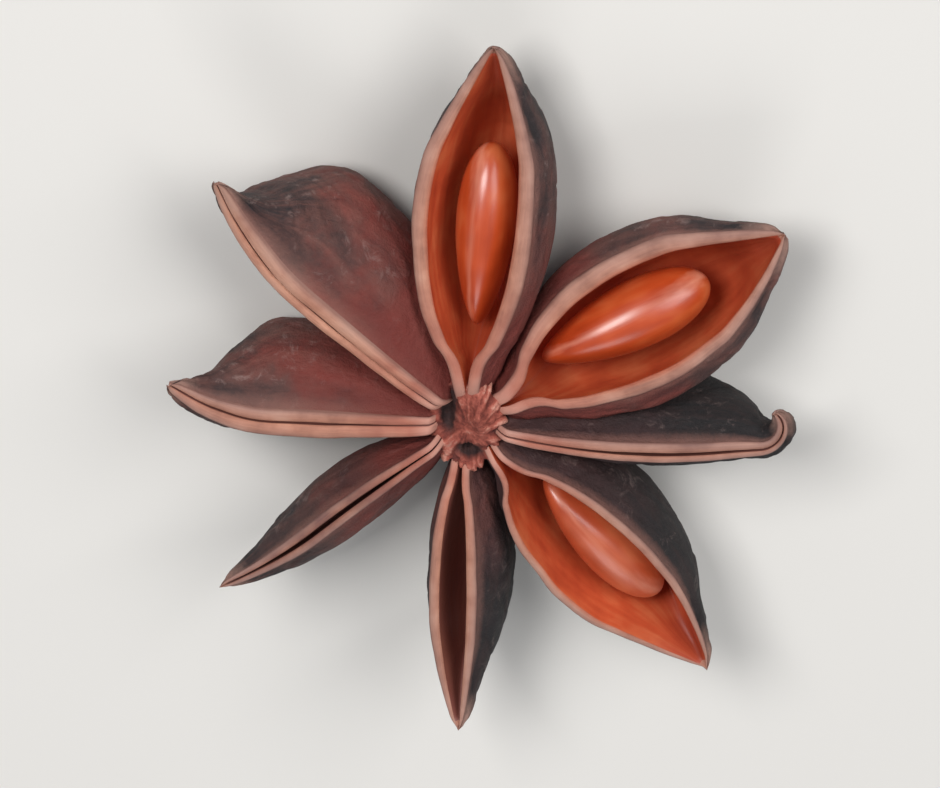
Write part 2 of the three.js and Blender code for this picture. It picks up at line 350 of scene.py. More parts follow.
def covered(tree, shader, tint, height, depth_mm, strength, rough=None):
    """Give the shader its colour, its bump and, where that varies, its roughness."""
    bump = add(tree, "ShaderNodeBump",
               {"Height": height, "Distance": depth_mm * MM, "Strength": strength}, out="Normal")
    tree.links.new(tint.socket, shader.inputs["Base Color"])
    tree.links.new(bump.socket, shader.inputs["Normal"])
    if rough is not None:
        tree.links.new(rough.socket, shader.inputs["Roughness"])


# %% [markdown]
# The husk is a dried, corky fruit wall. Near the column it is maroon, and towards the beak it
# weathers to a grey charcoal brown. The carpels that lie in shade are painted darker still, as
# painted shade. Veins run along it, its high spots are scuffed pale, painted shade darkens its
# creases and dents, and it is rubbed paler under the lips and at the beak.

# %% Husk
HUSK_BLOTCHES = 3.4  # mm, patches of more and less weathered husk
HUSK_GRAIN = 0.3  # mm, the corky grain
HUSK_SCUFFS = 1.1  # mm, the pale scuffs
HUSK_VEINS = (3.6, 0.55, 1.0)  # mm, the length and width of the veins


def corky_husk():
    material, tree, shader = new_material("corky_husk", roughness=0.75)
    along, wall, relief, weather_and_shade = marks(tree, "along", "wall", "relief", "weather_and_shade")
    place = add(tree, "ShaderNodeTexCoord", out="Object")
    blotches = add(tree, "ShaderNodeTexNoise",
                   {"Vector": place, "Scale": per(HUSK_BLOTCHES), "Detail": 4.0, "Roughness": 0.6})
    grain = add(tree, "ShaderNodeTexNoise",
                {"Vector": place, "Scale": per(HUSK_GRAIN), "Detail": 5.0, "Roughness": 0.7})
    scuffs = add(tree, "ShaderNodeTexNoise",
                 {"Vector": place, "Scale": per(HUSK_SCUFFS), "Detail": 6.0, "Roughness": 0.75,
                  "Distortion": 0.6})
    veins = fibres_on(tree, "skin", HUSK_VEINS, Detail=5.0, Roughness=0.7, Distortion=0.5)
    # Painted shade: a high weather share, on the carpels that lie in shade, takes the husk to the
    # near-black stops and dims its veins and scuffs.
    age_and_shade = weather_and_shade + (along - 0.45) * 0.8 + (blotches - 0.5) * 1.5
    tint = add(tree, "ShaderNodeValToRGB", {"Fac": age_and_shade}, out="Color", stops=[
        (0.0, "#7e2b22"), (0.3, "#692e27"), (0.55, "#53342f"), (0.8, "#261e20"), (1.0, "#161416"),
    ])
    beak = along + (grain - 0.5) * 0.06 + (wall - 1) * 0.12
    tint = painted(tree, tint, [
        (veins, 0.42, 0.7, 0.5 - weather_and_shade * 0.42, "#8d5b50"),  # veins
        (veins, 0.42, 0.3, 0.45, "#231819"),  # and the furrows between them
        (scuffs + relief * 0.06, 0.56, 0.7, 0.45 - weather_and_shade * 0.15, "#a48c86"),  # scuffed high spots
        # Painted shade: the husk is darker where its relief is pressed in, in creases, dents and the
        # neck.
        (relief, -0.15, -0.9, 0.6, "#261a1b"),  # creases
        (wall + (grain - 0.5) * 0.05, 0.93, 1.0, 0.55, "#96685c"),  # the rubbed top of the wall
        (along + (blotches - 0.5) * 0.3, 0.6, 0.25, 1.15 - weather_and_shade, "#6a261e"),  # near the column
        (beak, 0.88, 0.97, 0.75, "#ab8577"),
    ])
    covered(tree, shader, tint, grain + scuffs + veins, depth_mm=0.13, strength=0.8,
            rough=0.6 + grain * 0.35)
    return material


husk = corky_husk()
print(husk.name, "has", len(husk.node_tree.nodes), "nodes")

# %% [markdown]
# The lips are where the wall tore open along its seam. The torn fibres bleach to a pinkish tan,
# redder near the column, where each lip ends in a rubbed pale tip. Dust greys them towards the
# beak. Their outer edge is dark, and on a wide split the inner edge takes on the lining's orange.

# %% Lips
LIP_PATCHES = 1.6  # mm, patches that bleached more or less
LIP_FIBRES = (1.8, 0.16, 1.0)  # mm, the length and width of the torn fibres


def torn_lip():
    material, tree, shader = new_material("torn_lip", roughness=0.7)
    along, lip, split, relief = marks(tree, "along", "lip", "split", "relief")
    bleach, weather_and_shade = marks(tree, "bleach", "weather_and_shade")
    place = add(tree, "ShaderNodeTexCoord", out="Object")
    patches = add(tree, "ShaderNodeTexNoise",
                  {"Vector": place, "Scale": per(LIP_PATCHES), "Detail": 4.0})
    fibres = fibres_on(tree, "skin", LIP_FIBRES, Detail=4.0, Roughness=0.65)
    pale = bleach * 0.8 + (patches - 0.5) * 1.3 + (fibres - 0.5) * 0.5
    tint = add(tree, "ShaderNodeValToRGB", {"Fac": pale}, out="Color", stops=[
        (0.0, "#6d4842"), (0.35, "#90604f"), (0.65, "#b07862"), (1.0, "#cf967c"),
    ])
    # The dust follows the weather share, so the lips of the carpels in shade get painted shade too.
    dust = along * 0.7 - lip + weather_and_shade * 0.3 + (patches - 0.5) * 1.2
    tint = painted(tree, tint, [
        (along + (patches - 0.5) * 0.15, 0.4, 0.12, 0.7, "#a55c4b"),  # near the column
        (along, 0.14, 0.08, 0.6, "#cf9c8b"),  # the rubbed tip
        (dust, -0.2, 0.5, 0.55, "#8f756e"),
        (lip + (patches - 0.5) * 0.3, 0.32, 0.05, 0.55, "#664039"),  # the outer edge
        (lip + (split - 2) * 0.15, 0.7, 1.0, 0.6, "#b25637"),  # the inner edge
        # Painted shade: the lip is darker where nicks press into it.
        (relief, -0.1, -0.7, 0.5, "#5a332b"),  # nicks
    ])
    covered(tree, shader, tint, fibres, depth_mm=0.06, strength=0.6)
    return material


lips = torn_lip()
print(lips.name, "has", len(lips.node_tree.nodes), "nodes")

# %% [markdown]
# The lining is the hard inner skin that gripped the seed. It is smooth, orange brown and satin,
# with faint streaks along the carpel. Painted shade darkens it deep in the hollow and towards its
# narrow ends. In a split that has hardly opened it is painted a dull grey brown that stands for
# the shade in the narrow crack.

# %% Lining
LINING_PATCHES = 2.4  # mm, lighter and darker patches
LINING_STREAKS = (3.5, 0.4, 1.0)  # mm, the length and width of the streaks


def satin_lining():
    material, tree, shader = new_material("satin_lining", roughness=0.4)
    along, lining, parted = marks(tree, "along", "lining", "parted")
    place = add(tree, "ShaderNodeTexCoord", out="Object")
    patches = add(tree, "ShaderNodeTexNoise",
                  {"Vector": place, "Scale": per(LINING_PATCHES), "Detail": 3.0})
    streaks = fibres_on(tree, "skin", LINING_STREAKS, Detail=3.0)
    tint = add(tree, "ShaderNodeValToRGB", {"Fac": patches * 0.6 + streaks * 0.4}, out="Color",
               stops=[(0.3, "#ae4026"), (0.5, "#cc5934"), (0.7, "#e07c4f")])
    tint = painted(tree, tint, [
        # Painted shade: darker deep in the hollow and towards its narrow ends, where shade falls.
        (lining, 0.35, 0.95, 0.4, "#6a2416"),  # deep in the hollow
        ((along - 0.5).math("ABSOLUTE"), 0.22, 0.48, 0.6, "#7c2a1a"),  # towards both ends
        # Painted shade: a barely opened split gets a dull grey brown that stands for the shade in its
        # narrow crack.
        (parted, 3.0, 1.2, 0.85, "#6b4c47"),  # a split that has hardly opened
    ])
    covered(tree, shader, tint, streaks, depth_mm=0.04, strength=0.5,
            rough=0.32 + streaks * 0.25)
    return material


lining_skin = satin_lining()
print(lining_skin.name, "has", len(lining_skin.node_tree.nodes), "nodes")

# %% [markdown]
# ## The shape of a carpel
# Each carpel is one closed skin. A flat grid is bent into it: one direction of the grid runs
# along the carpel, and the other goes round its section, from the floor of the hollow over the
# right lip, down the right wall to the keel and up the other side. The section is a rule of three
# stretches, two Bezier curves and the arc of the lip, whose sizes change along the carpel by
# curves. Each carpel could be sculpted, but Geometry Nodes suit this better, because one tree
# with named sizes makes all eight. The tree works in millimetres, and its last step turns them
# into metres. The edges waver a little, as a torn seam does.

# %% Rules of the section
STATIONS, RING = 190, 240  # points along a carpel, and round its section
OUTSIDE, LIP_SHARE = 0.5, 0.12  # shares of half a section that the wall and the lip take up
LIP_CROWN = 0.3  # height of the lip's rounded top, as a share of its width
ROUNDING = 0.035  # share of the length over which both ends close
HOLLOW_END = 0.98  # share of the length at which the lining ends, just inside the beak
SIDE_LOW, SIDE_CHEEK, SIDE_LEVEL = 0.75, 1.42, 0.3  # handles of the outer curve
BED_LOW, BED_CHEEK, BED_LEVEL = 0.85, 1.08, 0.35  # handles of the hollow's curve
WAVES = 4.0  # how often the edges waver along a carpel, roughly
SIDES_APART = 7.0  # in the waver's noise, so that the two edges differ
SPLIT_WAVER, LIP_WAVER = 0.12, 0.3  # shares by which the waver changes the split and the lips
EDGE_WAVER = 0.25  # mm by which it lifts and lowers the edge
SIDE_SIZES = ["width", "gape", "lip", "spread"]
SIZES = ["roll", "reach", "bend", "curl", "start", "heel", "taper", "depth", "hollow", "inset"]
SIZES += ["weather_and_shade", "bleach", "seed"]
SIZES += [f"{side} {size}" for side in ("left", "right") for size in SIDE_SIZES]
RELIEF = ["lump depth", "wrinkle depth"]


def bezier(t, start, first, second, end):
    """A cubic Bezier curve's value at t, for numbers and fields alike."""
    s = 1 - t
    return s**3 * start + 3 * s**2 * t * first + 3 * s * t**2 * second + t**3 * end


def closing_end(tree, along):
    """From 0 at both ends to 1, rounded like a quarter of a circle."""
    base = add(tree, "ShaderNodeMapRange", {"Value": along, "From Max": ROUNDING})
    beak = add(tree, "ShaderNodeMapRange", {"Value": 1 - along, "From Max": ROUNDING})
    return (base * (2 - base) * beak * (2 - beak)).math("SQRT")


def section(tree, size, along, around):
    """Across and up, in millimetres, of each point of the grid, with its marks."""
    t = around.math("ABSOLUTE")
    wall = add(tree, "ShaderNodeMapRange", {"Value": t, "From Max": OUTSIDE})
    lip = add(tree, "ShaderNodeMapRange",
              {"Value": t, "From Min": OUTSIDE, "From Max": OUTSIDE + LIP_SHARE})
    lining = add(tree, "ShaderNodeMapRange", {"Value": t, "From Min": OUTSIDE + LIP_SHARE})
    closing = closing_end(tree, along)
    profile = {
        name: add(tree, "ShaderNodeFloatCurve", {"Value": along}, points=points)
        for name, points in PROFILES.items()
    }
    is_left = around.math("GREATER_THAN", 0.0)
    width, gape, lip_width, spread = (
        size["right " + name] + (size["left " + name] - size["right " + name]) * is_left
        for name in SIDE_SIZES
    )

    waver_at = add(tree, "ShaderNodeCombineXYZ",
                   {"X": along * WAVES, "Y": is_left * SIDES_APART, "Z": size["seed"]})
    waver = add(tree, "ShaderNodeTexNoise", {"Vector": waver_at, "Scale": 1.0, "Detail": 1.5}) - 0.5
    half = width * profile["width"] * closing
    split = gape * profile["gape"].math("MAXIMUM", 0.0) ** spread
    opening = split.math("MAXIMUM", SLIT / 2) * closing * (1 + waver * SPLIT_WAVER)
    rim = lip_width * profile["lip"] * closing * (1 + waver * LIP_WAVER)
    edge = opening + rim
    inner, outer = 1 - (1 - profile["depth"]) * size["heel"], profile["depth"] ** size["taper"]
    share = inner + (outer - inner) * along.math("GREATER_THAN", DEEPEST)
    depth = size["depth"] * share * closing
    most = (depth - KEEL_WALL).math("MAXIMUM", GROOVE)
    hollow = (size["hollow"] * profile["hollow"]).math("MAXIMUM", GROOVE)
    hollow = hollow.math("MINIMUM", most) * closing
    room = (half - WALL).math("MAXIMUM", 0.0) * (opening / FULL_SPLIT).math("MINIMUM", 1.0)
    room = room.math("MAXIMUM", opening / 2)

    cheek = (half * SIDE_CHEEK).math("MAXIMUM", edge)
    outside = bezier(wall, 0.0, half * SIDE_LOW, cheek, edge)
    over = opening + rim * (1 + (lip * math.pi).math("COSINE")) / 2
    bed_cheek = (room * BED_CHEEK).math("MAXIMUM", opening / 2)
    inside = bezier(lining, opening, bed_cheek, room * BED_LOW, 0.0)
    across = outside + over - edge + inside - opening
    up = (
        bezier(wall, depth * -1, depth * -1, depth * -SIDE_LEVEL, 0.0)
        + rim * LIP_CROWN * (lip * math.pi).math("SINE")
        + bezier(lining, 0.0, hollow * -BED_LEVEL, hollow * -1, hollow * -1)
        + waver * EDGE_WAVER * wall * (1 - lining) * closing
    )
    places = {"wall": wall, "lip": lip, "lining": lining, "split": split}
    return across * around.math("SIGN"), up, places


# %% [markdown]
# The section moves along a path: straight out from the column, then round an arc where the beak
# curls. It always stands square to the path, so a curled beak keeps its thickness. Over the first
# stretch, `inset`, the whole section sinks straight down into the heart of the star.

# %% Path of a carpel
def on_path(tree, size, along, across, up):
    """The place of a section's point once the section stands on the carpel's path."""
    span = size["reach"] - BASE_RADIUS
    rest = 1 - size["start"]
    radius = rest * span / size["curl"]
    turned = size["curl"] * (along - size["start"]).math("MAXIMUM", 0.0) / rest
    sine, cosine = turned.math("SINE"), turned.math("COSINE")
    out = BASE_RADIUS + along.math("MINIMUM", size["start"]) * span + radius * sine
    aside = size["bend"] * (along * math.pi).math("SINE") + radius * (1 - cosine)
    ahead_x = span * cosine
    ahead_y = span * sine + size["bend"] * math.pi * (along * math.pi).math("COSINE")
    length = (ahead_x * ahead_x + ahead_y * ahead_y).math("SQRT")
    ending = (1 - along / size["inset"]).math("MAXIMUM", 0.0)
    sunk = ending * ending * SINK
    edge_height = add(tree, "ShaderNodeFloatCurve", {"Value": along}, points=EDGE_HEIGHT)
    return add(tree, "ShaderNodeCombineXYZ", {
        "X": out - ahead_y / length * across,
        "Y": aside + ahead_x / length * across - sunk * size["roll"].math("SINE"),
        "Z": edge_height - sunk * size["roll"].math("COSINE") + up,
    })


# %% [markdown]
# ## Relief on the shape
# As a carpel dries its flesh shrinks over the hard lining. That leaves three kinds of relief on
# the husk, from coarse to fine: soft dents, oblique wrinkles that run from the lips towards the
# beak, and sharp creases between them. They are moved points, not only bump, so that they
# show in the outline too. The lips get nicks, and under them the husk draws in to a neck. The
# lining follows the dents only faintly. The sum is kept as the mark `relief`, for the materials.

# %% Rules of the relief
DENT_SIZE = 3.6  # mm, as are all lengths, spacings and depths here
WRINKLE_SPACING, WRINKLE_LENGTH = 0.8, 4.5
WRINKLE_SHARE = 0.8  # of the wrinkles' depth, beside the creases
CREASE_SPACING, CREASE_LENGTH = 2.2, 6.0
CREASE_WIDTH = 0.05  # of the noise, on each side of its middle
WRINKLE_SLANT = math.radians(24)
NECK = [(0, 0), (0.82, 0), (0.93, 1), (0.985, 0.75), (1, 0)]  # from the keel to the lip
NECK_DEPTH = 0.12
CALM_FROM = 0.93  # share of the wall above which the relief fades
NICK_SPACING, NICK_DEPTH = 0.6, 0.03
LINING_DEPTH = 0.08
RELIEF_MARK = 4.0  # the mark `relief` is so many times the millimetres
CARPELS_APART = 3.7  # in the noise, so that no two carpels have the same relief


def relief_height(tree, size, wall, lip, lining):
    """How far each point moves out of the skin, in millimetres."""
    spot = add(tree, "ShaderNodeSeparateXYZ", {0: add(tree, "GeometryNodeInputPosition")})
    x, y, z = spot["X"], spot["Y"], spot["Z"]
    with_grain = x * math.cos(WRINKLE_SLANT) - z * math.sin(WRINKLE_SLANT)
    over_grain = x * math.sin(WRINKLE_SLANT) + z * math.cos(WRINKLE_SLANT)

    def noise(length, spacing, detail, shift):
        """A noise drawn out along the grain, whose shift keeps it apart from the others."""
        at = add(tree, "ShaderNodeCombineXYZ", {
            "X": with_grain / length + size["seed"] * CARPELS_APART + shift,
            "Y": over_grain / spacing,
            "Z": y / spacing,
        })
        return add(tree, "ShaderNodeTexNoise",
                   {"Vector": at, "Scale": 1.0, "Detail": detail, "Distortion": 0.4})

    dents = (noise(DENT_SIZE, DENT_SIZE, 2.0, 0.0) - 0.5) * 2
    wrinkles = (noise(WRINKLE_LENGTH, WRINKLE_SPACING, 3.0, 5.0) - 0.5) * 2
    folds = (noise(CREASE_LENGTH, CREASE_SPACING, 2.0, 9.0) - 0.5).math("ABSOLUTE")
    creases = add(tree, "ShaderNodeMapRange",
                  {"Value": folds, "From Max": CREASE_WIDTH, "To Min": -1.0, "To Max": 0.0})
    nicks = (noise(NICK_SPACING, NICK_SPACING, 3.0, 13.0) - 0.5) * 2

    on_wall = 1 - lip.math("GREATER_THAN", 0.0)
    neck = add(tree, "ShaderNodeFloatCurve", {"Value": wall}, points=NECK)
    calm = add(tree, "ShaderNodeMapRange", {"Value": wall, "From Min": 1.0, "From Max": CALM_FROM})
    lines = wrinkles * WRINKLE_SHARE + creases
    husk_part = (dents * size["lump depth"] + lines * size["wrinkle depth"]) * calm
    lip_part = nicks * NICK_DEPTH * (lip * math.pi).math("SINE")
    lining_part = dents * LINING_DEPTH * lining * (1 - lining)
    return (husk_part - neck * NECK_DEPTH) * on_wall + lip_part + lining_part


# %% [markdown]
# ## Steps that the trees share
# The carpels, the heart and the seeds each get a tree. Each starts with its named sizes, leaves
# marks, and ends with the same steps: from millimetres to metres, smooth shading, instances made
# real, and materials. `grow` runs a tree on an empty object and keeps the plain mesh.

# %% Helpers for geometry trees
def marked(tree, mesh, values, data_type="FLOAT"):
    """Leave marks on each point, by their names."""
    for name, value in values.items():
        mesh = add(tree, "GeometryNodeStoreNamedAttribute",
                   {"Geometry": mesh, "Name": name, "Value": value}, data_type=data_type, domain="POINT")
    return mesh


def raised(tree, mesh, relief):
    """Move each point out of the skin by a relief in millimetres, and keep it as a mark."""
    mesh = marked(tree, mesh, {"relief": relief * RELIEF_MARK})
    normal = add(tree, "GeometryNodeInputNormal")
    rise = add(tree, "ShaderNodeVectorMath", {0: normal, "Scale": relief}, operation="SCALE")
    return add(tree, "GeometryNodeSetPosition", {"Geometry": mesh, "Offset": rise})


def new_tree(name, sizes):
    """An empty geometry tree, with its named sizes as fields."""
    tree = bpy.data.node_groups.new(name, "GeometryNodeTree")
    tree.interface.new_socket("Mesh", in_out="OUTPUT", socket_type="NodeSocketGeometry")
    for size in sizes:
        tree.interface.new_socket(size, in_out="INPUT", socket_type="NodeSocketFloat")
    given = tree.nodes.new("NodeGroupInput")
    return tree, {size: Field(tree, given.outputs[size]) for size in sizes}


def finished(tree, mesh, material, others=()):
    """The last steps of each tree: metres, smooth shading, a material and others where they go."""
    mesh = add(tree, "GeometryNodeTransform", {"Geometry": mesh, "Scale": (MM, MM, MM)})
    mesh = add(tree, "GeometryNodeSetShadeSmooth", {"Geometry": mesh})
    mesh = add(tree, "GeometryNodeRealizeInstances", {"Geometry": mesh})
    mesh = add(tree, "GeometryNodeSetMaterial", {"Geometry": mesh, "Material": material})
    for where, other in others:
        mesh = add(tree, "GeometryNodeSetMaterial",
                   {"Geometry": mesh, "Selection": where, "Material": other})
    out = tree.nodes.new("NodeGroupOutput")
    tree.links.new(mesh.socket, out.inputs["Mesh"])
    return tree


def grow(name, tree, sizes):
    """The plain mesh that a tree makes with these sizes, in an object of its own."""
    piece = bpy.data.objects.new(name, bpy.data.meshes.new(name))
    bpy.context.scene.collection.objects.link(piece)
    modifier = piece.modifiers.new("rule", "NODES")
    modifier.node_group = tree
    for socket in tree.interface.items_tree:
        if socket.in_out == "INPUT":
            modifier[socket.identifier] = float(sizes[socket.name])
    evaluated = piece.evaluated_get(bpy.context.evaluated_depsgraph_get())
    mesh = bpy.data.meshes.new_from_object(evaluated)
    piece.modifiers.remove(modifier)
    piece.data = mesh
    return piece


# %% [markdown]
# The two edges of the grid that run along the carpel meet at the floor of the hollow, and its
# ends shrink to a point, so merging the points that coincide closes the skin. The relief comes
# after that, so that it can't tear the seam open.

# %% Build the carpel tree
ENDS_AT = 0.49999  # a hair inside the grid's ends, so that they are exactly 0 and 1
HALF_ROUND = 12.0  # mm, half of the way round a section, near enough
SKINS_APART = 9.0  # mm, so that no two carpels have the same fibres
SEAM = 0.0001  # mm, between points that are merged


def carpel_tree():
    tree, size = new_tree("carpel", SIZES + RELIEF)
    mesh = add(tree, "GeometryNodeMeshGrid",
               {"Size X": 1.0, "Size Y": 2.0, "Vertices X": STATIONS, "Vertices Y": RING}, out="Mesh")
    spot = add(tree, "ShaderNodeSeparateXYZ", {0: add(tree, "GeometryNodeInputPosition")})
    along = add(tree, "ShaderNodeMapRange",
                {"Value": spot["X"], "From Min": -ENDS_AT, "From Max": ENDS_AT})
    around = spot["Y"]
    across, up, places = section(tree, size, along, around)
    places |= {"along": along, "parted": size["left gape"] + size["right gape"]}
    places |= {name: size[name] for name in ("weather_and_shade", "bleach")}
    mesh = marked(tree, mesh, places)
    skin = add(tree, "ShaderNodeCombineXYZ",
               {"X": along * size["reach"], "Y": around * HALF_ROUND,
                "Z": size["seed"] * SKINS_APART})
    mesh = marked(tree, mesh, {"skin": skin}, "FLOAT_VECTOR")
    place = on_path(tree, size, along, across, up)
    mesh = add(tree, "GeometryNodeSetPosition", {"Geometry": mesh, "Position": place})
    mesh = add(tree, "GeometryNodeMergeByDistance", {"Geometry": mesh, "Distance": SEAM})
    mesh = add(tree, "GeometryNodeFlipFaces", {"Mesh": mesh})

    along, wall, lip, lining = (
        add(tree, "GeometryNodeInputNamedAttribute", {"Name": name}, data_type="FLOAT")
        for name in ("along", "wall", "lip", "lining")
    )
    mesh = raised(tree, mesh, relief_height(tree, size, wall, lip, lining))
    on_lip = lip.math("GREATER_THAN", 0.0)
    in_hollow = (lining * (HOLLOW_END - along)).math("GREATER_THAN", 0.0)
    return finished(tree, mesh, husk, [(on_lip, lips), (in_hollow, lining_skin)])


carpel_rule = carpel_tree()
print("carpel tree:", len(carpel_rule.nodes), "nodes")

# %% [markdown]
# Every carpel is turned to its azimuth, droop and roll, and then set down. Its belly goes into
# the table by as much as it will be worn flat, less its lift.

# %% Make the carpels
LUMP_DEPTH, WRINKLE_DEPTH = 0.14, 0.07  # mm


def carpel_turn(c):
    """The rotation from a carpel's own axes to the frame's."""
    turns = [Matrix.Rotation(math.radians(c[name]), 4, axis)
             for name, axis in (("azimuth", "Z"), ("droop", "Y"), ("roll", "X"))]
    return turns[0] @ turns[1] @ turns[2]


def carpel_sizes(c, seed):
    """The inputs of the carpel tree, with the angles in radians."""
    sizes = {name: c[name] for name in SIZES if name in c}
    sizes |= {f"{side} {name}": c[side][name] for side in ("left", "right") for name in SIDE_SIZES}
    return sizes | {
        "curl": math.radians(c["curl"]), "roll": math.radians(c["roll"]), "seed": seed,
        "lump depth": LUMP_DEPTH, "wrinkle depth": WRINKLE_DEPTH,
    }


def lowest(mesh):
    return min(v.co.z for v in mesh.vertices)


carpels, rises = {}, {}
for seed, (name, c) in enumerate(CARPELS.items()):
    piece = grow("carpel_" + name, carpel_rule, carpel_sizes(c, seed))
    piece.data.transform(carpel_turn(c))
    rises[name] = (c["lift"] - FLAT) * MM - lowest(piece.data)
    piece.data.transform(Matrix.Translation((0, 0, rises[name])))
    carpels[name] = piece
    print(name, len(piece.data.polygons), "faces")

# %% [markdown]
# The star is centred as the frame has it: the middle of its box is over the origin. What lies
# below the table is pressed up to it, which leaves the small flats that the fruit rests on.

# %% Centre the star
def extent(pieces, axis):
    values = [v.co[axis] for p in pieces for v in p.data.vertices]
    return min(values), max(values)


pod_low, pod_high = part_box("pod")
centring = Vector((0, 0, 0))
for axis in (0, 1):
    low, high = extent(carpels.values(), axis)
    centring[axis] = (pod_low[axis] + pod_high[axis]) / 2 - (low + high) / 2
print("hub at", [round(v / MM, 2) for v in centring])

for name, piece in carpels.items():
    piece.data.transform(Matrix.Translation(centring))
    for v in piece.data.vertices:
        v.co.z = max(v.co.z, 0.0)
    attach(piece, "root")
    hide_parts("pod")

# %% [markdown]
# ## The heart of the star
# Where the carpels meet, the end of the central column fills the space between the lips' ends.
# Its top is crumbly and creased outwards from the axis, with a knob beside the axis and two
# pits. Below, the column ends in the scar of its stalk. The colour is the dull red of torn,
# crumbly tissue. Painted shade and light make it darker low down and in the creases, paler on
# the crumbs' tops and nearly black in the pits.

# %% Heart material
HEART_CRUMBS = 0.45  # mm


def crumbly_heart():
    material, tree, shader = new_material("crumbly_heart", roughness=0.8)
    relief, sunk = marks(tree, "relief", "sunk")
    place = add(tree, "ShaderNodeTexCoord", out="Object")
    crumbs = add(tree, "ShaderNodeTexNoise",
                 {"Vector": place, "Scale": per(HEART_CRUMBS), "Detail": 5.0, "Roughness": 0.7})
    # Painted shade and light: the colour follows the crumbs and the relief, darker in the creases and
    # low spots and paler on the crumbs' tops.
    height = crumbs * 0.7 + relief * 0.5 + 0.15
    tint = add(tree, "ShaderNodeValToRGB", {"Fac": height}, out="Color",
               stops=[(0.2, "#431713"), (0.42, "#7c372b"), (0.58, "#a55646"), (0.75, "#cd9280")])
    tint = painted(tree, tint, [
        # Painted shade: the pits are painted nearly black.
        (sunk + (crumbs - 0.5) * 0.8, 0.08, 0.5, 0.92, "#1f1314"),  # the pits
    ])
    covered(tree, shader, tint, crumbs, depth_mm=0.15, strength=0.9)
    return material


heart_skin = crumbly_heart()
print(heart_skin.name, "has", len(heart_skin.node_tree.nodes), "nodes")

# %% [markdown]
# The heart is a lathed shape: a profile of reach by height, turned round the axis, that is longer
# than it is wide. The knob and the pits are smooth hills and hollows on its top. A noise sampled
# round a circle draws its outline in and out, and the same noise creases its top, so that every
# crease ends at a notch.

# %% Heart shape
HEART = {
    "half width": 1.9, "half length": 2.9, "top": 8.0, "bottom": 2.0, "lean": 0.15,
    "knob": 0.85, "pit": 1.0, "lump depth": 0.14, "crease depth": 0.17,
}
KNOB = (0.6, 0.9, 0.5, 1.2)  # place and reach, each along X and Y
PITS = [(-0.95, 0.8, 0.38, 1.3), (0.1, -1.75, 0.65, 0.45)]
HEART_REACH = [(0, 0), (0.08, 0.45), (0.12, 0.46), (0.15, 0.55), (0.4, 0.95), (0.5, 1),
               (0.6, 0.9), (1, 0)]
HEART_HEIGHT = [(0, 0), (0.08, 0.0), (0.12, 0.07), (0.15, 0.12), (0.4, 0.8), (0.5, 0.92),
                (0.6, 0.98), (1, 1)]
HEART_STEPS, HEART_SIDES = 150, 180
TOP_FROM, TOP_TO = 0.4, 0.6  # shares of the profile over which the side becomes the top
NOISE_CIRCLE, NOISE_RISE = 4.0, 2.0  # radius and height of the cylinder cut from the noise
CREASE_GAIN = 4.0  # brings the creases' noise to about 1
RAGGED = 0.5  # how strongly the creases draw the outline in and out
LUMPS = 1.5  # to a millimetre, roughly
HEART_SEAM = 0.0005  # mm, between points that are merged


def near(x, y, spot):
    """From 1 at a place to 0 beyond its reach."""
    at_x, at_y, reach_x, reach_y = spot
    far_x, far_y = (x - at_x) / reach_x, (y - at_y) / reach_y
    return ((far_x * far_x + far_y * far_y) * -1).math("EXPONENT")


def heart_tree():
    tree, size = new_tree("heart", HEART)
    grid = {"Size X": 1.0, "Size Y": 2 * math.pi, "Vertices X": HEART_STEPS, "Vertices Y": HEART_SIDES}
    mesh = add(tree, "GeometryNodeMeshGrid", grid, out="Mesh")
    spot = add(tree, "ShaderNodeSeparateXYZ", {0: add(tree, "GeometryNodeInputPosition")})
    up, angle = spot["X"] + 0.5, spot["Y"]
    sine, cosine = angle.math("SINE"), angle.math("COSINE")
    circle = add(tree, "ShaderNodeCombineXYZ",
                 {"X": cosine * NOISE_CIRCLE, "Y": sine * NOISE_CIRCLE, "Z": up * NOISE_RISE})
    creases = add(tree, "ShaderNodeTexNoise", {"Vector": circle, "Scale": 1.0, "Detail": 3.0}) - 0.5
    profile = add(tree, "ShaderNodeFloatCurve", {"Value": up}, points=HEART_REACH)
    reach = profile * (1 + creases * RAGGED)
    x, y = cosine * reach * size["half width"], sine * reach * size["half length"]
    on_top = add(tree, "ShaderNodeMapRange", {"Value": up, "From Min": TOP_FROM, "From Max": TOP_TO})
    # The mark `sunk` also tells the material where to paint the pits nearly black, as painted shade.
    sunk = (near(x, y, PITS[0]) + near(x, y, PITS[1])) * on_top
    height = add(tree, "ShaderNodeFloatCurve", {"Value": up}, points=HEART_HEIGHT)
    height = height * (size["top"] - size["bottom"]) + size["bottom"]
    raise_by = near(x, y, KNOB) * size["knob"] + (x + y) * size["lean"] - sunk * size["pit"]
    place = add(tree, "ShaderNodeCombineXYZ", {"X": x, "Y": y, "Z": height + raise_by * on_top})
    mesh = marked(tree, mesh, {"sunk": sunk, "crease": creases * reach})
    mesh = add(tree, "GeometryNodeSetPosition", {"Geometry": mesh, "Position": place})
    mesh = add(tree, "GeometryNodeMergeByDistance", {"Geometry": mesh, "Distance": HEART_SEAM})
    mesh = add(tree, "GeometryNodeFlipFaces", {"Mesh": mesh})

    here = add(tree, "GeometryNodeInputPosition")
    lumps = add(tree, "ShaderNodeTexNoise",
                {"Vector": here, "Scale": LUMPS, "Detail": 5.0, "Roughness": 0.6}) - 0.5
    crease = add(tree, "GeometryNodeInputNamedAttribute", {"Name": "crease"}, data_type="FLOAT")
    relief = lumps * 2 * size["lump depth"] + crease * CREASE_GAIN * size["crease depth"]
    return finished(tree, raised(tree, mesh, relief), heart_skin)


